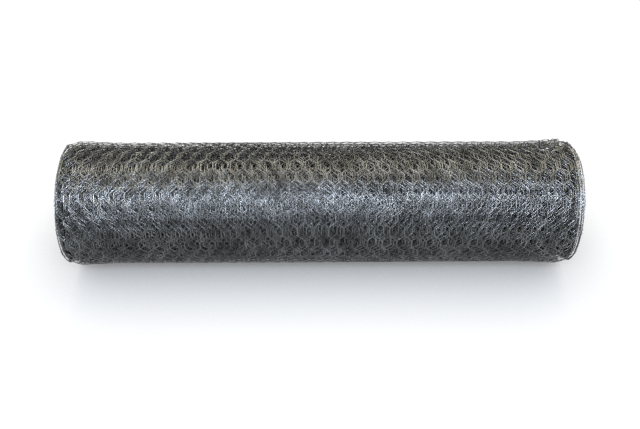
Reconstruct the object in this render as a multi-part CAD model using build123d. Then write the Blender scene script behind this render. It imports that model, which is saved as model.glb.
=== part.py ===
from build123d import *

import os
from math import cos, pi, sqrt, tau

# A roll of hexagonal wire netting that lies on its side: one length of netting, wound on itself
# round a bare bore. Millimetres. +X runs along the roll, +Z is up, and the origin is on the floor,
# under the middle of the roll.

# The netting, as it is sold
NETTING_WIDTH = 900.0
NETTING_LENGTH = 25000.0

# One layer of netting in the wound roll, nested in the next
TURN_THICKNESS = 1.3

# The hole that is left when the winding mandrel is drawn out
BORE_DIAMETER = 82.0

# The doubled edge wires of the netting stack higher than its mesh, so the roll swells towards its
# ends, where the free edges curl in
SELVEDGE_BUILD_UP = 3.0
SELVEDGE_FLARE_LENGTH = 90.0
SELVEDGE_CURL = 6.0
SELVEDGE_CURL_LENGTH = 20.0

# The edges of two neighbouring turns nest in one ridge on the end of the roll, with a groove between
# it and the next ridge
TURNS_PER_RIDGE = 2
SELVEDGE_RIDGE_HEIGHT = 2.0

# Netting closes up across when it is pulled along, so the tight turns inside are narrower than the
# outermost turn, and the ends of the roll are dished
TIGHT_TURN_NARROWING = 20.0
LOOSE_TURNS = 2

# The turns wander a little along the roll, so they stand proud at one end and are sunk at the other
TURN_WANDER = 2.0
TURNS_PER_WANDER = 24

# The outermost turns are the loosest, and have slipped to the right
OUTER_TURN_SLIP = 2.0
SLIPPED_TURNS = 6

# The roll's outside follows from the length of netting that is wound on its bore
bore_radius = BORE_DIAMETER / 2
roll_radius = sqrt(bore_radius**2 + NETTING_LENGTH * TURN_THICKNESS / pi)
swell_radius = roll_radius + SELVEDGE_BUILD_UP
end_radius = swell_radius - SELVEDGE_CURL
turn_count = round((roll_radius - bore_radius) / TURN_THICKNESS)
ridge_count = round(turn_count / TURNS_PER_RIDGE)
ridge_pitch = (end_radius - bore_radius) / ridge_count

# The roll rests on its two swells
axis_height = swell_radius
roll_axis = Axis((0, 0, axis_height), (1, 0, 0))

LEFT = -1
RIGHT = 1


def loose_shift(turn):
    """How far a turn has moved along the roll since it was wound. Turn 0 is the outermost."""
    wander = TURN_WANDER * cos(tau * turn / TURNS_PER_WANDER)
    slip = OUTER_TURN_SLIP * max(0, 1 - turn / SLIPPED_TURNS)
    return wander + slip


def half_width(turn):
    """Half of the width that the netting has in a turn."""
    tightness = min(1, turn / LOOSE_TURNS)
    return (NETTING_WIDTH - TIGHT_TURN_NARROWING * tightness) / 2


# Each ridge is as wide as its first turn, and has moved with it. The outermost turn is in the middle.
ridge_turns = [ridge * TURNS_PER_RIDGE for ridge in range(ridge_count)]
ridge_shifts = [loose_shift(turn) - loose_shift(0) for turn in ridge_turns]
ridge_half_widths = [half_width(turn) for turn in ridge_turns]


def section_point(x, radius):
    """A point of the half section above the axis, which is drawn in the XZ plane."""
    return (x, 0, axis_height + radius)


def groove_point(side, ridge, next_ridge, radius):
    """The bottom of the groove between two ridges, at one end of the roll."""
    shift = (ridge_shifts[ridge] + ridge_shifts[next_ridge]) / 2
    crest = (ridge_half_widths[ridge] + ridge_half_widths[next_ridge]) / 2
    return section_point(side * (crest - SELVEDGE_RIDGE_HEIGHT) + shift, radius)


def ridge_point(side, ridge, radius):
    """The crest of one ridge, at one end of the roll."""
    return section_point(side * ridge_half_widths[ridge] + ridge_shifts[ridge], radius)


def end_outline(side):
    """The edges of all the turns at one end, from the outside of the roll to its bore."""
    last_ridge = ridge_count - 1
    points = [groove_point(side, 0, 0, end_radius)]
    for ridge in range(ridge_count):
        ridge_radius = end_radius - (ridge + 1 / 2) * ridge_pitch
        groove_radius = end_radius - (ridge + 1) * ridge_pitch
        points.append(ridge_point(side, ridge, ridge_radius))
        points.append(groove_point(side, ridge, min(ridge + 1, last_ridge), groove_radius))
    return points


def netting_roll():
    """The wound roll, turned about its axis from half of its section."""
    straight_half = NETTING_WIDTH / 2 - SELVEDGE_FLARE_LENGTH
    swell_half = NETTING_WIDTH / 2 - SELVEDGE_CURL_LENGTH
    outline = [
        *reversed(end_outline(LEFT)),
        section_point(LEFT * swell_half, swell_radius),
        section_point(LEFT * straight_half, roll_radius),
        section_point(RIGHT * straight_half, roll_radius),
        section_point(RIGHT * swell_half, swell_radius),
        *end_outline(RIGHT),
    ]
    half_section = Face(Wire(Polyline(*outline, close=True).edges()))
    return revolve(half_section, axis=roll_axis)


os.makedirs("parts", exist_ok=True)
roll = netting_roll()
export_step(roll, "parts/netting_roll.step")

print("turns", turn_count, "ridges", ridge_count)
print("roll diameter", round(2 * roll_radius, 2), "at the swells", round(2 * swell_radius, 2))
print("size", roll.bounding_box().size, "volume", round(roll.volume))
print("bore middle x", round(ridge_shifts[-1], 4), "axis height", round(axis_height, 4))
print("bore length", 2 * (ridge_half_widths[-1] - SELVEDGE_RIDGE_HEIGHT))
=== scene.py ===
# %% [markdown]
# # A roll of chicken wire
#
# The object is one length of hexagonal wire netting, galvanised, wound on itself round an open bore.
# It lies on its side on a pale floor. The solid model gives its size and its outline: a turned roll
# that swells near its ends, where the edges of the turns show as ridges. A roll of netting is mostly
# air, so this lesson replaces the solid by the wires themselves. It draws the few wires of one mesh,
# lets Geometry Nodes weave them into a flat netting, and winds that netting into the roll.

# %% Load the solid model
from math import cos, pi, radians, sin, tau

import bpy
import numpy as np
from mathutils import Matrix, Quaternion, Vector


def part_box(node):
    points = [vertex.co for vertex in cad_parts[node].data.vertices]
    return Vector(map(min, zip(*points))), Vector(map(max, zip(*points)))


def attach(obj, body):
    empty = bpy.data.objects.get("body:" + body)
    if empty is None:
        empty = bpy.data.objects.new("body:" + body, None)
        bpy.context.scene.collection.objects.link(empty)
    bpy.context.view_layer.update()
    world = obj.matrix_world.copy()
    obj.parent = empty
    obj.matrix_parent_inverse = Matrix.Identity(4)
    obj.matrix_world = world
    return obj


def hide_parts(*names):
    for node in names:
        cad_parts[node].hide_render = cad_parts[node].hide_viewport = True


MM = 0.001

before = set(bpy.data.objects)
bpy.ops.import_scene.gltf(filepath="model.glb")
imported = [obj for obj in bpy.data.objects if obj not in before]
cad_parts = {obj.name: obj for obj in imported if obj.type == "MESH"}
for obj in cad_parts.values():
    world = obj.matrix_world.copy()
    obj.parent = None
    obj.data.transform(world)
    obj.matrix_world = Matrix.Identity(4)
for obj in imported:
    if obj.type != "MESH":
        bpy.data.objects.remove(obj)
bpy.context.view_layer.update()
roll_low, roll_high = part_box("netting_roll")
print("solids in the frame:", len(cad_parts))
print("solid roll, mm:", [round((high - low) / MM, 1) for low, high in zip(roll_low, roll_high)])

# %% [markdown]
# ## One helper for every node tree
#
# The netting, the zinc and the floor are all made of nodes. Nodes could be added one line at a time,
# with a line for each link, but this one function does it in one call: it adds a node, changes its
# settings and fills its inputs. An input gets a plain value, another node, whose first output is then
# meant, or one of a node's outputs. A list of nodes fills an input that takes several links. The
# kinds of node that come up again and again get a short name.


# %% The helper
def add_node(tree, kind, inputs=None, **settings):
    node = tree.nodes.new(kind)
    for setting, value in settings.items():
        setattr(node, setting, value)
    for socket, value in (inputs or {}).items():
        for source in value if isinstance(value, list) else [value]:
            if isinstance(source, bpy.types.Node):
                source = source.outputs[0]
            if isinstance(source, bpy.types.NodeSocket):
                tree.links.new(source, node.inputs[socket])
            else:
                node.inputs[socket].default_value = source
    return node


MATH = "ShaderNodeMath"
INTEGER_MATH = "FunctionNodeIntegerMath"
VECTOR_MATH = "ShaderNodeVectorMath"
MAP_RANGE = "ShaderNodeMapRange"
COMBINE = "ShaderNodeCombineXYZ"
SPLIT = "ShaderNodeSeparateXYZ"
NOISE = "ShaderNodeTexNoise"
print("helper ready:", add_node.__name__)

# %% [markdown]
# ## The netting's sizes
#
# Chicken wire is sold by its mesh, its wire and its width. Two neighbouring wires are twisted round
# each other over a short length, part, and are twisted with their other neighbours in the next row.
# The twists run along the netting, which is round the roll, and the rows are staggered by half a mesh.
# The netting is 35 meshes wide, so each is close to the usual 25 mm.

# %% Mesh and wire
netting_width = 900 * MM
meshes_across = 35
mesh_width = netting_width / meshes_across
row_pitch = 24.7 * MM
twist_length = 13.5 * MM
wire_diameter = 0.9 * MM
strand_offset = wire_diameter / 2
print("one mesh, mm:", round(mesh_width / MM, 2), "wide, rows", round(row_pitch / MM, 1), "apart")

# %% [markdown]
# ## The roll's sizes
#
# The netting is wound as a flat spiral. The doubled edge wires stack higher than the mesh between
# them, so the roll swells near its ends, and the free edges curl in. Netting closes up across when it
# is pulled along, so the tight turns inside are narrower than the loose outermost ones, and one looks
# through a thin rim of wire at either end. The values are those of the solid model, apart from that
# rim: wires show more gap than a solid, so here it has one turn more and stands out less far. The
# outside is measured on the solid.

# %% Roll
turn_count = 53
turn_thickness = 1.3 * MM
selvedge_build_up = 3 * MM
flare_length = 90 * MM
selvedge_curl = 6 * MM
curl_length = 20 * MM
tight_turn_narrowing = 11 * MM
loose_turns = 3
turn_wander = 2 * MM
turns_per_wander = 24
outer_turn_slip = 2 * MM
slipped_turns = 6

swell_radius = (roll_high[2] - roll_low[2]) / 2
axis_height = (roll_high[2] + roll_low[2]) / 2
outer_layer_radius = swell_radius - selvedge_build_up - wire_diameter
print("axis height, mm:", round(axis_height / MM, 1))
print("outer layer, mm from the axis:", round(outer_layer_radius / MM, 1))

# %% [markdown]
# ## Colours
#
# Colours are written as the hex codes that a paint program shows. Blender mixes light in linear
# values, so one function turns a code into those.


# %% Colours from hex codes
def linear_colour(code):
    channels = [int(code[start : start + 2], 16) / 255 for start in (0, 2, 4)]
    return (*[c / 12.92 if c <= 0.04045 else ((c + 0.055) / 1.055) ** 2.4 for c in channels], 1)


print("mid grey, linear:", [round(channel, 3) for channel in linear_colour("808080")])

# %% [markdown]
# ## Galvanised wire
#
# The wire is mild steel, dipped in molten zinc and wiped. New zinc is bright, and it dulls in patches
# to a darker, warmer grey as it weathers. To the eye the wire is a dull grey that sparkles where it
# faces the light. One flat grey would look like paint, so a slow noise mixes two greys, and a finer
# noise makes the metal smooth in some flecks and dull in others. The zinc was wiped along the wire,
# so the flecks are long and narrow, and lie round the roll as most of the wire does. Real flecks are
# too fine to show at this distance, so they are drawn 3.2 mm wide and 12 mm long.

# %% Weathered patches and flecks of the zinc
dull_patch = 30 * MM
patch_detail = 3.0
fleck_width = 3.2 * MM
fleck_length = 12 * MM
fleck_detail = 1.0

galvanised_wire = bpy.data.materials.new("galvanised_wire")
galvanised_wire.use_nodes = True
zinc = galvanised_wire.node_tree
zinc.nodes.clear()
place = add_node(zinc, "ShaderNodeTexCoord").outputs["Object"]
dulling = add_node(zinc, NOISE, {"Vector": place, "Scale": 1 / dull_patch, "Detail": patch_detail})
fleck_place = add_node(zinc, "ShaderNodeMapping", {
    "Vector": place, "Scale": (1 / fleck_width, 1 / fleck_length, 1 / fleck_length)})
fleck = add_node(zinc, NOISE, {"Vector": fleck_place, "Scale": 1.0, "Detail": fleck_detail})
print("zinc patches, mm:", round(dull_patch / MM))
print("zinc flecks, mm:", round(fleck_width / MM, 1), "by", round(fleck_length / MM))

# %% The zinc itself
dull_zinc, bright_zinc = "585755", "8e8f8f"
noise_low, noise_high = 0.3, 0.7
smoothest_fleck, dullest_fleck = 0.06, 0.28
fleck_height = 0.12 * MM
bump_strength = 0.2
zinc_metallic = 0.9

zinc_colour = add_node(zinc, "ShaderNodeValToRGB", {"Fac": dulling.outputs["Fac"]})
colour_stops = ((noise_low, dull_zinc), (noise_high, bright_zinc))
for stop, (position, code) in zip(zinc_colour.color_ramp.elements, colour_stops):
    stop.position = position
    stop.color = linear_colour(code)
zinc_roughness = add_node(zinc, MAP_RANGE, {
    "Value": fleck.outputs["Fac"], "From Min": noise_low, "From Max": noise_high,
    "To Min": smoothest_fleck, "To Max": dullest_fleck})
zinc_bump = add_node(zinc, "ShaderNodeBump", {
    "Height": fleck.outputs["Fac"], "Strength": bump_strength, "Distance": fleck_height})
zinc_surface = add_node(zinc, "ShaderNodeBsdfPrincipled", {
    "Base Color": zinc_colour.outputs["Color"], "Roughness": zinc_roughness,
    "Metallic": zinc_metallic, "Normal": zinc_bump})
add_node(zinc, "ShaderNodeOutputMaterial", {"Surface": zinc_surface})
print("nodes in the zinc:", len(zinc.nodes))

# %% [markdown]
# ## One mesh, drawn as lines
#
# A mesh is drawn flat, X across the netting and Y along it, with its twist round the origin. A wire
# comes in on a slanting leg, goes one and a half times round its neighbour and leaves on another leg,
# half a mesh to the side. Legs end where those of the next knots start, so copies join up into long
# wires. Tubes could be modelled at once, but lines are light, and are wound before they get thick.
# The outermost turns are seen close to, so they get a true twist with a shoulder at each end.


# %% A wire of the mesh
half_turns_in_twist = 3
shoulder_shares = (0.14, 0.28, 0)
fine_twist_steps = 6


def strand_points(twist_steps, shoulders):
    share = np.linspace(0, 1, twist_steps + 1)
    along = (share - 1 / 2) * twist_length
    turn = pi + half_turns_in_twist * pi * share
    twist = np.stack([strand_offset * np.cos(turn), along, strand_offset * np.sin(turn)], axis=1)
    leg_end = np.array([-mesh_width / 4, -row_pitch / 2, 0])
    shoulder = twist[0] + (leg_end - twist[0]) * shoulder_shares
    start = np.array([leg_end, shoulder] if shoulders else [leg_end])
    return np.concatenate([start, twist, -start[::-1]])


print("points along a fine wire of one mesh:", len(strand_points(fine_twist_steps, True)))

# %% [markdown]
# ## The selvedge
#
# Along both edges of the netting runs a selvedge: two wires, twisted without end. The outermost wires
# of the mesh wrap twice round that pair and turn back. The pair is drawn stouter than it is, so that
# the edges of the turns show at the ends of the roll.


# %% The wires of the edge
half_turns_in_wrap = 4
turns_per_selvedge_length = 4
selvedge_bulk = 1.4
selvedge_offset = selvedge_bulk * wire_diameter / 2
wrap_radius = 2 * selvedge_offset + wire_diameter / 2


def edge_strand_points(twist_steps):
    share = np.linspace(0, 1, twist_steps + 1)
    along = (share - 1 / 2) * twist_length
    turn = pi + half_turns_in_wrap * pi * share
    wrap = np.stack([wrap_radius * np.cos(turn), along, wrap_radius * np.sin(turn)], axis=1)
    leg_end = np.array([-mesh_width / 4, -row_pitch / 2, 0])
    shoulder = wrap[0] + (leg_end - wrap[0]) * shoulder_shares
    start = np.array([leg_end, shoulder])
    return np.concatenate([start, wrap, start[::-1] * [1, -1, 1]])


def selvedge_points(steps, phase):
    share = np.linspace(0, 1, steps + 1)
    along = (2 * share - 1) * row_pitch
    turn = phase + turns_per_selvedge_length * tau * share
    return np.stack([selvedge_offset * np.cos(turn), along, selvedge_offset * np.sin(turn)], axis=1)


print("points along a fine edge wire:", len(edge_strand_points(2 * fine_twist_steps)))

# %% [markdown]
# ## From points to a drawing
#
# A drawing is a mesh of edges without faces. Curves could hold the lines too, but only a mesh can have
# its points merged where two legs meet. Each point also keeps two marks: whether it belongs to the edge
# of the netting, and how bulky the wire is there.


# %% A drawing from paths
def draw_paths(name, paths):
    points, links, on_edge, bulk = [], [], [], []
    for path, edge, thickness in paths:
        first = len(points)
        points += [tuple(point) for point in path]
        links += [(first + step, first + step + 1) for step in range(len(path) - 1)]
        on_edge += [edge] * len(path)
        bulk += [thickness] * len(path)
    drawing = bpy.data.meshes.new(name)
    drawing.from_pydata(points, links, [])
    drawing.attributes.new("on_edge", "BOOLEAN", "POINT").data.foreach_set("value", on_edge)
    drawing.attributes.new("bulk", "FLOAT", "POINT").data.foreach_set("value", bulk)
    print(name, "points", len(points))
    return drawing


# %% [markdown]
# ## Fine drawings and a plain one
#
# The first turns are drawn with true twists. Deeper down only glints show between the wires above, so
# there a twist is one straight wire, as wide as the two it stands for, which keeps the roll under its
# limit of triangles. Its legs run all the way to the next knot.


# %% Drawings with true twists
one_wire = 1.0
medium_twist_steps = 3


def twisted_drawing(name, twist_steps, shoulders):
    strand = strand_points(twist_steps, shoulders)
    wrap_steps, selvedge_steps = 2 * twist_steps, 4 * twist_steps
    return draw_paths(name, [
        (strand, False, one_wire),
        (strand * [-1, 1, -1], False, one_wire),
        (edge_strand_points(wrap_steps), True, one_wire),
        (selvedge_points(selvedge_steps, 0), True, selvedge_bulk),
        (selvedge_points(selvedge_steps, pi), True, selvedge_bulk),
    ])


fine_mesh = twisted_drawing("mesh_wires_fine", fine_twist_steps, shoulders=True)
medium_mesh = twisted_drawing("mesh_wires_medium", medium_twist_steps, shoulders=False)

# %% The plain drawing
twist_bulk = 2.0
twist_start = np.array([0, -twist_length / 2, 0])
twist_end = np.array([0, twist_length / 2, 0])
side_step = np.array([strand_offset / 2, 0, 0])
next_knot = np.array([mesh_width / 2, row_pitch, 0])
leg_start = np.array([-mesh_width / 4, -row_pitch / 2, 0])
right_leg = np.array([twist_end + side_step, twist_start + next_knot - side_step])

plain_mesh = draw_paths("mesh_wires_plain", [
    (np.array([twist_start, twist_end]), False, twist_bulk),
    (right_leg, False, one_wire),
    (right_leg * [-1, 1, 1], False, one_wire),
    (np.array([leg_start, twist_start, twist_end, leg_start * [1, -1, 1]]), True, one_wire),
    (np.array([[0, -row_pitch, 0], [0, 0, 0], [0, row_pitch, 0]]), True, twist_bulk * selvedge_bulk),
])

# %% [markdown]
# ## The tree that weaves and winds
#
# Some 1,000 rows of 35 knots could be placed by a loop in Python, but then every change of size is a
# long wait. A Geometry Nodes tree does it at once, and its named inputs hold what differs from one
# stretch of the roll to the next.

# %% The tree and its inputs
winding = bpy.data.node_groups.new("wind_netting", "GeometryNodeTree")
winding.interface.new_socket("Geometry", in_out="OUTPUT", socket_type="NodeSocketGeometry")
winding_inputs = {
    "Geometry": "Geometry", "Row Count": "Int", "First Turn": "Float", "Rows In First Turn": "Float",
    "Rows Lost Per Turn": "Float", "Start Angle": "Float", "Wire Sides": "Int", "Closed Ends": "Bool",
    "Drift Along": "Float", "Drift Round": "Float", "Drift Out": "Float", "Drift Seed": "Float",
    "Tail Lift": "Float", "Bunch Lift": "Float", "Material": "Material",
}
for name, kind in winding_inputs.items():
    winding.interface.new_socket(name, in_out="INPUT", socket_type="NodeSocket" + kind)
given = add_node(winding, "NodeGroupInput").outputs
print("inputs of the tree:", len(winding_inputs))

# %% [markdown]
# ## A grid of knots
#
# Knots are counted along a row, then row by row, and every second row is half a mesh further on. The
# ready-made grid has no such stagger, so each knot's place is worked out from its number. Knots that
# fall on the left edge are taken out, because the edge has wires of its own.

# %% Rows and columns
rows_per_repeat = 2
row_stagger = 1 / 2
left_edge = -netting_width / 2

index = add_node(winding, "GeometryNodeInputIndex")
row = add_node(winding, INTEGER_MATH, {0: index, 1: meshes_across}, operation="DIVIDE_FLOOR")
column = add_node(winding, INTEGER_MATH, {0: index, 1: meshes_across}, operation="MODULO")
stagger = add_node(winding, INTEGER_MATH, {0: row, 1: rows_per_repeat}, operation="MODULO")
step_across = add_node(winding, MATH, {0: stagger, 1: row_stagger, 2: column}, operation="MULTIPLY_ADD")
knot_x = add_node(winding, MATH, {0: step_across, 1: mesh_width, 2: left_edge}, operation="MULTIPLY_ADD")
knot_y = add_node(winding, MATH, {0: row, 1: row_pitch}, operation="MULTIPLY")
knot_count = add_node(winding, INTEGER_MATH, {
    0: given["Row Count"], 1: meshes_across}, operation="MULTIPLY")
knots = add_node(winding, "GeometryNodePoints", {
    "Count": knot_count, "Position": add_node(winding, COMBINE, {"X": knot_x, "Y": knot_y})})
on_left_edge = add_node(winding, MATH, {0: step_across, 1: row_stagger / 2}, operation="LESS_THAN")
inner_knots = add_node(winding, "GeometryNodeDeleteGeometry", {
    "Geometry": knots, "Selection": on_left_edge})
print("knots in a row:", meshes_across)

# %% [markdown]
# ## Weaving
#
# Each wire could be drawn from one end of the netting to the other, but copies of one mesh are less
# work. Each knot gets a copy of the drawing, and each edge a row of copies of its edge wires, mirrored
# on the left. Points that meet are merged, which joins the legs, and the edges become curves: the
# wires of a flat netting.

# %% A flat netting
merge_distance = 0.02 * MM

marked_edge = add_node(winding, "GeometryNodeInputNamedAttribute", {
    "Name": "on_edge"}, data_type="BOOLEAN")
drawing = add_node(winding, "GeometryNodeSeparateGeometry", {
    "Geometry": given["Geometry"], "Selection": marked_edge})
woven = [add_node(winding, "GeometryNodeInstanceOnPoints", {
    "Points": inner_knots, "Instance": drawing.outputs["Inverted"]})]
edge_count = add_node(winding, INTEGER_MATH, {
    0: given["Row Count"], 1: rows_per_repeat}, operation="DIVIDE")
edge_y = add_node(winding, MATH, {0: index, 1: rows_per_repeat * row_pitch}, operation="MULTIPLY")
for side in (-1, 1):
    edge_place = add_node(winding, COMBINE, {"X": side * netting_width / 2, "Y": edge_y})
    edge_knots = add_node(winding, "GeometryNodePoints", {"Count": edge_count, "Position": edge_place})
    woven.append(add_node(winding, "GeometryNodeInstanceOnPoints", {
        "Points": edge_knots, "Instance": drawing.outputs["Selection"], "Scale": (side, 1, 1)}))
netting = add_node(winding, "GeometryNodeJoinGeometry", {"Geometry": woven})
netting = add_node(winding, "GeometryNodeRealizeInstances", {"Geometry": netting})
netting = add_node(winding, "GeometryNodeMergeByDistance", {
    "Geometry": netting, "Distance": merge_distance})
wires = add_node(winding, "GeometryNodeMeshToCurve", {"Mesh": netting})
print("nodes so far:", len(winding.nodes))

# %% [markdown]
# ## Which turn a point is on
#
# Each turn inwards is a little shorter, so it takes fewer rows. Adding up row by row would need a loop.
# But if a turn takes a fixed number of rows fewer than the one outside it, the rows up to any turn add
# up to a quadratic, and the turn is its root: (first - sqrt(first^2 - 2 * lost * rows)) / lost. Turns
# are counted inwards, from the free end of the netting.

# %% Rows to turns
spot = add_node(winding, "GeometryNodeInputPosition")
flat = add_node(winding, SPLIT, {"Vector": spot}).outputs
first_rows, lost_rows = given["Rows In First Turn"], given["Rows Lost Per Turn"]
rows = add_node(winding, MATH, {0: flat["Y"], 1: row_pitch}, operation="DIVIDE")
lost_so_far = add_node(winding, MATH, {0: rows, 1: lost_rows}, operation="MULTIPLY")
first_squared = add_node(winding, MATH, {0: first_rows, 1: first_rows}, operation="MULTIPLY")
squared = add_node(winding, MATH, {0: lost_so_far, 1: -2.0, 2: first_squared}, operation="MULTIPLY_ADD")
root = add_node(winding, MATH, {0: squared}, operation="SQRT")
spent = add_node(winding, MATH, {0: first_rows, 1: root}, operation="SUBTRACT")
turn = add_node(winding, MATH, {0: spent, 1: lost_rows}, operation="DIVIDE")
turn = add_node(winding, MATH, {0: turn, 1: given["First Turn"]}, operation="ADD")
print("nodes so far:", len(winding.nodes))

# %% [markdown]
# ## Loose winding
#
# No two turns lie alike: each drifts a little along the roll, round it and outwards. If all of them
# lined up, one would look straight through the meshes to the bore. A smooth noise with a fixed seed
# moves them, slowly along the roll, so that the meshes keep their shape.

# %% Drift
drift_patch = 600 * MM
drift_patches_per_turn = 3.6
noise_middle = (0.5, 0.5, 0.5)

drift_x = add_node(winding, MATH, {0: flat["X"], 1: drift_patch}, operation="DIVIDE")
drift_y = add_node(winding, MATH, {0: turn, 1: drift_patches_per_turn}, operation="MULTIPLY")
drift_place = add_node(winding, COMBINE, {"X": drift_x, "Y": drift_y, "Z": given["Drift Seed"]})
drift_noise = add_node(winding, NOISE, {"Vector": drift_place, "Scale": 1.0, "Detail": 0.0})
drift = add_node(winding, VECTOR_MATH, {
    0: drift_noise.outputs["Color"], 1: noise_middle}, operation="SUBTRACT")
drift = add_node(winding, SPLIT, {"Vector": drift}).outputs
print("drift patch, mm:", round(drift_patch / MM))

# %% [markdown]
# ## Where a point lies along the roll
#
# The whole turn wanders and slips as in the solid model, and a tight turn is narrower. The selvedge
# is stiff, so the drift along the roll fades towards the edges.

# %% Turns that wander and slip
wander_angle = add_node(winding, MATH, {0: turn, 1: tau / turns_per_wander}, operation="MULTIPLY")
wander = add_node(winding, MATH, {0: wander_angle}, operation="COSINE")
slip = add_node(winding, MAP_RANGE, {
    "Value": turn, "From Max": slipped_turns,
    "To Min": -turn_wander, "To Max": -turn_wander - outer_turn_slip})
shift = add_node(winding, MATH, {0: wander, 1: turn_wander, 2: slip}, operation="MULTIPLY_ADD")
tight_share = 1 - tight_turn_narrowing / netting_width
width_share = add_node(winding, MAP_RANGE, {
    "Value": turn, "From Max": loose_turns, "To Min": 1.0, "To Max": tight_share})
print("a tight turn, mm wide:", round((netting_width - tight_turn_narrowing) / MM))

# %% Place along the roll
stiff_edge_length = 80 * MM
stiff_edge_start = netting_width / 2 - stiff_edge_length
edge_drift_share = 0.16

from_middle = add_node(winding, MATH, {0: flat["X"]}, operation="ABSOLUTE")
freedom = add_node(winding, MAP_RANGE, {
    "Value": from_middle, "From Min": stiff_edge_start, "From Max": netting_width / 2,
    "To Min": 1.0, "To Max": edge_drift_share})
drift_along = add_node(winding, MATH, {0: drift["X"], 1: given["Drift Along"]}, operation="MULTIPLY")
moved = add_node(winding, MATH, {0: drift_along, 1: freedom, 2: shift}, operation="MULTIPLY_ADD")
along = add_node(winding, MATH, {0: flat["X"], 1: width_share, 2: moved}, operation="MULTIPLY_ADD")
print("nodes so far:", len(winding.nodes))

# %% [markdown]
# ## The bunched end
#
# The cut end of the netting lies over the top of the roll, just behind it. Near its right corner its
# wires are bunched into a small dark tuft. A tuft could be modelled by hand and set on top, but it is
# part of the same netting, so the tree draws the meshes there together and crumples them with a noise
# about as large as a bent wire end.

# %% A tuft of wire
bunch_place = 426 * MM
bunch_core = 10 * MM
bunch_reach = 50 * MM
bunch_turns = 0.16
bunch_gather_share = 0.75
crumple_size = 9 * MM
crumple_along = 24 * MM

from_bunch = add_node(winding, MATH, {0: along, 1: bunch_place}, operation="SUBTRACT")
bunch_distance = add_node(winding, MATH, {0: from_bunch}, operation="ABSOLUTE")
nearness = add_node(winding, MAP_RANGE, {
    "Value": bunch_distance, "From Min": bunch_core, "From Max": bunch_reach,
    "To Min": 1.0, "To Max": 0.0}, interpolation_type="SMOOTHSTEP")
at_tail = add_node(winding, MAP_RANGE, {
    "Value": turn, "From Max": bunch_turns, "To Min": 1.0, "To Max": 0.0})
bunch = add_node(winding, MATH, {0: nearness, 1: at_tail}, operation="MULTIPLY")
crumple_place = add_node(winding, COMBINE, {"X": flat["X"], "Y": flat["Y"], "Z": given["Drift Seed"]})
crumple = add_node(winding, NOISE, {"Vector": crumple_place, "Scale": 1 / crumple_size, "Detail": 0.0})
crumple = add_node(winding, VECTOR_MATH, {
    0: crumple.outputs["Color"], 1: noise_middle}, operation="SUBTRACT")
crumple = add_node(winding, VECTOR_MATH, {0: crumple, "Scale": bunch}, operation="SCALE")
crumple = add_node(winding, SPLIT, {"Vector": crumple}).outputs
gather = add_node(winding, MATH, {0: from_bunch, 1: bunch}, operation="MULTIPLY")
along = add_node(winding, MATH, {0: gather, 1: -bunch_gather_share, 2: along}, operation="MULTIPLY_ADD")
along = add_node(winding, MATH, {0: crumple["X"], 1: crumple_along, 2: along}, operation="MULTIPLY_ADD")
print("tuft, mm from the middle:", round(bunch_place / MM))

# %% [markdown]
# ## How far a point lies from the axis
#
# Each turn lies one netting thickness further in. The swell and the curl of the ends follow the
# solid, and fade inwards, so the bore stays straight. The loose end of the netting stands off a little.

# %% The shape of the ends
flare_start = netting_width / 2 - flare_length
curl_start = netting_width / 2 - curl_length

rise = add_node(winding, MAP_RANGE, {
    "Value": from_middle, "From Min": flare_start, "From Max": curl_start,
    "To Min": 0.0, "To Max": selvedge_build_up})
curl = add_node(winding, MAP_RANGE, {
    "Value": from_middle, "From Min": curl_start, "From Max": netting_width / 2,
    "To Min": 0.0, "To Max": selvedge_curl})
swell = add_node(winding, MATH, {0: rise, 1: curl}, operation="SUBTRACT")
outerness = add_node(winding, MAP_RANGE, {
    "Value": turn, "From Max": turn_count, "To Min": 1.0, "To Max": 0.0})
swell = add_node(winding, MATH, {0: swell, 1: outerness}, operation="MULTIPLY")
print("swell, mm:", round(selvedge_build_up / MM, 1), "curl, mm:", round(selvedge_curl / MM, 1))

# %% The loose end
tail_turns = 0.3
tail_bend = 2.0
wave_gain = 2.0
crumple_out = 14 * MM

tail = add_node(winding, MAP_RANGE, {
    "Value": turn, "From Max": tail_turns, "To Min": 1.0, "To Max": 0.0})
tail = add_node(winding, MATH, {0: tail, 1: tail_bend}, operation="POWER")
tail = add_node(winding, MATH, {0: tail, 1: given["Tail Lift"]}, operation="MULTIPLY")
tail_wave = add_node(winding, MATH, {0: drift_noise.outputs["Fac"], 1: wave_gain}, operation="MULTIPLY")
tuft = add_node(winding, MATH, {0: crumple["Z"], 1: crumple_out}, operation="MULTIPLY")
tuft = add_node(winding, MATH, {0: bunch, 1: given["Bunch Lift"], 2: tuft}, operation="MULTIPLY_ADD")
lift = add_node(winding, MATH, {0: tail, 1: tail_wave, 2: tuft}, operation="MULTIPLY_ADD")
print("nodes so far:", len(winding.nodes))

# %% Distance from the axis
radius = add_node(winding, MATH, {
    0: turn, 1: -turn_thickness, 2: outer_layer_radius}, operation="MULTIPLY_ADD")
radius = add_node(winding, MATH, {
    0: drift["Z"], 1: given["Drift Out"], 2: radius}, operation="MULTIPLY_ADD")
for part in (flat["Z"], swell, lift):
    radius = add_node(winding, MATH, {0: radius, 1: part}, operation="ADD")
inner_radius = outer_layer_radius - turn_count * turn_thickness
print("innermost turn, mm from the axis:", round(inner_radius / MM, 1))

# %% [markdown]
# ## Winding
#
# A point starts above the axis, at its own distance, and is turned about X by its angle. A Curve
# modifier could bend the netting along a spiral, but here each point has an angle of its own, so the
# turns can drift. The tuft is also drawn together round the roll, towards the cut end.

# %% Round the axis
bunch_shortening_share = 0.5

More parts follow.
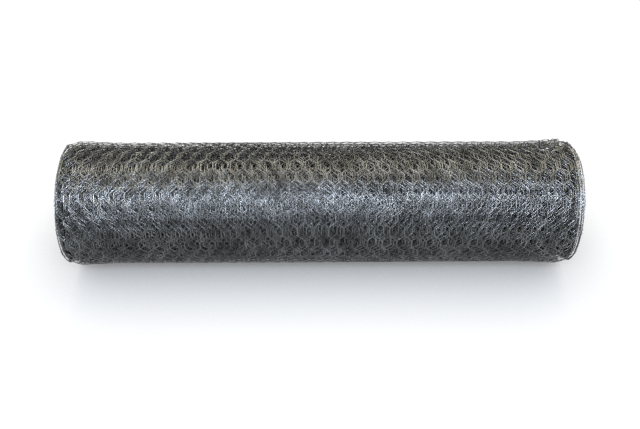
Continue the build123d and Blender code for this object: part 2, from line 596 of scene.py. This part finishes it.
unbunched = add_node(winding, MATH, {
    0: bunch, 1: -bunch_shortening_share, 2: 1.0}, operation="MULTIPLY_ADD")
bunched_turn = add_node(winding, MATH, {0: turn, 1: unbunched}, operation="MULTIPLY")
wound_angle = add_node(winding, MATH, {
    0: bunched_turn, 1: tau, 2: given["Start Angle"]}, operation="MULTIPLY_ADD")
drift_round = add_node(winding, MATH, {0: drift["Y"], 1: given["Drift Round"]}, operation="MULTIPLY")
drift_angle = add_node(winding, MATH, {0: drift_round, 1: outer_layer_radius}, operation="DIVIDE")
wound_angle = add_node(winding, MATH, {0: wound_angle, 1: drift_angle}, operation="ADD")
spoke = add_node(winding, COMBINE, {"X": along, "Z": radius})
wound = add_node(winding, "ShaderNodeVectorRotate", {
    "Vector": spoke, "Angle": wound_angle}, rotation_type="X_AXIS")
wound = add_node(winding, VECTOR_MATH, {0: wound, 1: (0, 0, axis_height)}, operation="ADD")
wires = add_node(winding, "GeometryNodeSetPosition", {"Geometry": wires, "Position": wound})
print("nodes so far:", len(winding.nodes))

# %% [markdown]
# ## From lines to wire
#
# A small circle is swept along every line. Three or four sides are enough for a wire half a pixel
# thick, since its shading is smooth. The wire is drawn a little thicker than it is, zinc and all, so
# that single wires show. The tree ends in plain mesh with its finish on it.

# %% The wire's thickness
drawn_bulk = 1.15

bulk = add_node(winding, "GeometryNodeInputNamedAttribute", {"Name": "bulk"}, data_type="FLOAT")
section = add_node(winding, "GeometryNodeCurvePrimitiveCircle", {
    "Resolution": given["Wire Sides"], "Radius": drawn_bulk * wire_diameter / 2})
tubes = add_node(winding, "GeometryNodeCurveToMesh", {
    "Curve": wires, "Profile Curve": section, "Scale": bulk, "Fill Caps": given["Closed Ends"]})
tubes = add_node(winding, "GeometryNodeSetShadeSmooth", {"Geometry": tubes})
tubes = add_node(winding, "GeometryNodeRealizeInstances", {"Geometry": tubes})
tubes = add_node(winding, "GeometryNodeSetMaterial", {"Geometry": tubes, "Material": given["Material"]})
add_node(winding, "NodeGroupOutput", {"Geometry": tubes})
print("nodes in the whole tree:", len(winding.nodes))

# %% [markdown]
# ## Winding the pieces
#
# One stretch of netting at a time goes through the tree. Its inputs are set by their identifiers
# before anything is evaluated, the result is copied into a plain mesh, and the drawing with its
# modifier is removed.


# %% One stretch of the roll
def wind_piece(name, drawing, sizes):
    drawn = bpy.data.objects.new(name + "_drawing", drawing)
    bpy.context.collection.objects.link(drawn)
    modifier = drawn.modifiers.new("winding", "NODES")
    modifier.node_group = winding
    for socket in winding.interface.items_tree:
        if socket.in_out == "INPUT" and socket.name in sizes:
            modifier[socket.identifier] = sizes[socket.name]
    depsgraph = bpy.context.evaluated_depsgraph_get()
    mesh = bpy.data.meshes.new_from_object(drawn.evaluated_get(depsgraph), depsgraph=depsgraph)
    mesh.name = name
    bpy.data.objects.remove(drawn)
    piece = bpy.data.objects.new(name, mesh)
    bpy.context.collection.objects.link(piece)
    print(name, "triangles", sum(len(face.vertices) - 2 for face in mesh.polygons))
    return piece


# %% [markdown]
# ## The turns
#
# The roll is cut into nine stretches, so that each piece stays under 200,000 triangles. The
# meshes of the outer six turns lie nearly in step, 28 rows to a turn, so that the honeycomb shows.
# Further in, a turn takes as many rows as its length gives.

# %% What all turns share
looseness = {
    "Start Angle": radians(-55), "Drift Along": 36 * MM, "Drift Round": 42 * MM, "Drift Out": 3 * MM,
    "Drift Seed": 0.0, "Tail Lift": 1.6 * MM, "Bunch Lift": 2.5 * MM, "Material": galvanised_wire,
}
rows_in_step = 28.0
rows_lost_in_step = 0.02
rows_in_outer_turn = tau * outer_layer_radius / row_pitch
rows_lost = tau * turn_thickness / row_pitch
print("rows in the outer turn:", round(rows_in_outer_turn, 2))
print("rows lost per turn:", round(rows_lost, 3))

# %% Wind the roll
# Name, drawing, rows of meshes, sides of a wire, and whether the meshes lie in step
stretches = [
    ("netting_turn_01", fine_mesh, 28, 4, True),
    ("netting_turn_02", fine_mesh, 28, 3, True),
    ("netting_turn_03", medium_mesh, 28, 3, True),
    ("netting_turns_04_06", plain_mesh, 84, 3, True),
    ("netting_turns_07_12", plain_mesh, 156, 3, False),
    ("netting_turns_13_20", plain_mesh, 186, 3, False),
    ("netting_turns_21_29", plain_mesh, 186, 3, False),
    ("netting_turns_30_40", plain_mesh, 180, 3, False),
    ("netting_turns_41_53", plain_mesh, 134, 3, False),
]
first_turn = 0.0
for name, mesh_drawing, row_count, wire_sides, in_step in stretches:
    rows_now = rows_in_step if in_step else rows_in_outer_turn - rows_lost * first_turn
    lost_now = rows_lost_in_step if in_step else rows_lost
    piece = wind_piece(name, mesh_drawing, {
        **looseness, "Row Count": row_count, "First Turn": first_turn, "Rows In First Turn": rows_now,
        "Rows Lost Per Turn": lost_now, "Wire Sides": wire_sides,
        "Closed Ends": mesh_drawing != plain_mesh})
    first_turn += (rows_now - (rows_now**2 - 2 * lost_now * row_count) ** 0.5) / lost_now
    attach(piece, "root")
    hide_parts("netting_roll")
print("turns wound:", round(first_turn, 2))

# %% [markdown]
# ## Floor
#
# The roll lies on a white studio floor, which bends up into a low round wall, so that it has no edge
# in any view. A flat sheet would show its edge from a low angle.

# %% The floor's shape
# Distance from the middle and height, in metres
cove_profile = [(3.0, 0.0), (6.0, 0.0), (7.2, 0.2), (8.2, 0.8), (8.8, 1.8), (9.0, 3.0)]
cove_segments = 64

spokes = np.linspace(0, tau, cove_segments, endpoint=False)
floor_points = [(r * cos(a), r * sin(a), z) for r, z in cove_profile for a in spokes]
floor_faces = [tuple(range(cove_segments))]
for ring in range(len(cove_profile) - 1):
    for step in range(cove_segments):
        here, beside = ring * cove_segments + step, ring * cove_segments + (step + 1) % cove_segments
        floor_faces.append((here, here + cove_segments, beside + cove_segments, beside))
floor_mesh = bpy.data.meshes.new("floor")
floor_mesh.from_pydata(floor_points, [], floor_faces)
floor_mesh.shade_smooth()
floor = bpy.data.objects.new("floor", floor_mesh)
bpy.context.collection.objects.link(floor)
print("floor faces:", len(floor_faces))

# %% [markdown]
# ## The floor's finish, with a painted shadow
#
# The floor is matt white paper under studio lamps. A bright floor would also throw light back up into
# the wires, so the paper itself is grey, and a glow that only the camera and mirror-like surfaces see
# brings it up to white. The glow is painted weaker where the roll covers the sky, which gives a painted
# soft shadow, and painted weaker far from the roll, a painted falloff as if out of the lamps' reach.

# %% White paper
paper_grey, white = linear_colour("5d5d5d"), linear_colour("ffffff")
# Reach and depth of the painted shadow, and the glow's painted falloff with distance
shadow_reach = 220 * MM
shadow_depth = 0.8
shadow_samples = 8
near_distance, far_distance = 1.3, 4.5
near_glow, far_glow = 0.82, 0.3

white_paper = bpy.data.materials.new("white_paper")
white_paper.use_nodes = True
paper = white_paper.node_tree
paper.nodes.clear()
path = add_node(paper, "ShaderNodeLightPath").outputs
seen = add_node(paper, MATH, {0: path["Is Camera Ray"], 1: path["Is Glossy Ray"]}, operation="MAXIMUM")
seen = add_node(paper, MATH, {0: seen, 1: path["Is Transmission Ray"]}, operation="MAXIMUM")
# Painted shadow: the glow is dimmed where the roll hides the sky; no lamp casts this shadow
painted_shadow = add_node(paper, "ShaderNodeAmbientOcclusion", {
    "Distance": shadow_reach}, samples=shadow_samples)
painted_shadow = add_node(paper, MATH, {0: painted_shadow.outputs["AO"], 1: shadow_depth}, operation="POWER")
place = add_node(paper, "ShaderNodeTexCoord").outputs["Object"]
distance = add_node(paper, VECTOR_MATH, {0: place}, operation="LENGTH").outputs["Value"]
# Painted falloff: the glow is painted dimmer far from the roll
glow = add_node(paper, MAP_RANGE, {
    "Value": distance, "From Min": near_distance, "From Max": far_distance,
    "To Min": near_glow, "To Max": far_glow}, interpolation_type="SMOOTHSTEP")
glow = add_node(paper, MATH, {0: glow, 1: painted_shadow}, operation="MULTIPLY")
glow = add_node(paper, MATH, {0: glow, 1: seen}, operation="MULTIPLY")
glow = add_node(paper, "ShaderNodeEmission", {"Color": white, "Strength": glow})
matt_paper = add_node(paper, "ShaderNodeBsdfDiffuse", {"Color": paper_grey})
paper_surface = add_node(paper, "ShaderNodeAddShader", {0: matt_paper, 1: glow})
add_node(paper, "ShaderNodeOutputMaterial", {"Surface": paper_surface})
white_paper.cycles.emission_sampling = "NONE"
floor_mesh.materials.append(white_paper)
print("nodes in the paper:", len(paper.nodes))

# %% [markdown]
# ## Light
#
# Bright wire shows little but what it mirrors, so the lamps are laid out like the bands of light on
# the roll. A picture of a studio round the scene could light it too, but a few lamps are easier to
# move. A large cool window in front and above gives the sparkling band, with a narrow brighter strip
# in it and two weak strips below. A large warm panel above and behind lights the top. Distances and
# sizes are in metres.


# %% A softbox
def add_softbox(name, elevation, distance, size, watts, code):
    lamp = bpy.data.lights.new(name, "AREA")
    lamp.shape = "RECTANGLE"
    lamp.size, lamp.size_y = size
    lamp.energy = watts
    lamp.color = linear_colour(code)[:3]
    softbox = bpy.data.objects.new(name, lamp)
    direction = Vector((0, -cos(radians(elevation)), sin(radians(elevation))))
    softbox.location = Vector((0, 0, axis_height)) + direction * distance
    softbox.rotation_euler = direction.to_track_quat("Z", "Y").to_euler()
    bpy.context.collection.objects.link(softbox)
    print(name, "degrees up:", elevation, "watts:", watts)


# %% The lamps
window_light, cool_light, warm_light = "dfecff", "e4efff", "fff8e2"
strip_size = (2.0, 0.12)

add_softbox("window_softbox", elevation=58, distance=2.2, size=(3.0, 2.8), watts=76, code=window_light)
add_softbox("key_softbox", elevation=54, distance=2.0, size=(1.6, 0.3), watts=55, code=cool_light)
add_softbox("middle_softbox", elevation=37, distance=2.0, size=strip_size, watts=14, code=cool_light)
add_softbox("low_softbox", elevation=19, distance=2.0, size=strip_size, watts=10, code=cool_light)
add_softbox("top_softbox", elevation=115, distance=2.2, size=(2.0, 2.0), watts=86, code=warm_light)

# %% A dim room
room_level = 0.03

room = bpy.data.worlds.new("room")
room.use_nodes = True
room.node_tree.nodes.clear()
room_light = add_node(room.node_tree, "ShaderNodeBackground", {
    "Color": white, "Strength": room_level})
add_node(room.node_tree, "ShaderNodeOutputWorld", {"Surface": room_light})
bpy.context.scene.world = room
print("room light:", room_level)

# %% [markdown]
# ## Camera
#
# The camera looks down on the roll at 45 degrees, square to its length. Its distance gives the ends
# of the roll their slight curve. The focal length is in pixels of the picture, which is 640 wide, so
# it is turned into millimetres on a 36 mm sensor. The roll sits above the middle of the picture.

# %% The camera
picture_width = 640
sensor_width = 36
focal_pixels = 869
camera_distance = 1.58
camera_elevation = radians(45)
camera_right = 0.5 * MM
camera_roll = radians(0.27)
aim_drop_pixels = 12.1

lens = bpy.data.cameras.new("camera")
lens.sensor_width = sensor_width
lens.lens = focal_pixels / picture_width * sensor_width
camera = bpy.data.objects.new("camera", lens)
bpy.context.collection.objects.link(camera)
back = Vector((0, -cos(camera_elevation), sin(camera_elevation)))
up = Vector((0, sin(camera_elevation), cos(camera_elevation)))
roll_middle = Vector((camera_right, 0, axis_height))
camera.location = roll_middle + back * camera_distance
aim = roll_middle - up * (aim_drop_pixels / focal_pixels * camera_distance)
sight = (aim - camera.location).to_track_quat("-Z", "Y")
camera.rotation_euler = (sight @ Quaternion((0, 0, 1), -camera_roll)).to_euler()
bpy.context.scene.camera = camera
bpy.context.scene.view_settings.view_transform = "Standard"
print("lens, mm:", round(lens.lens, 1))
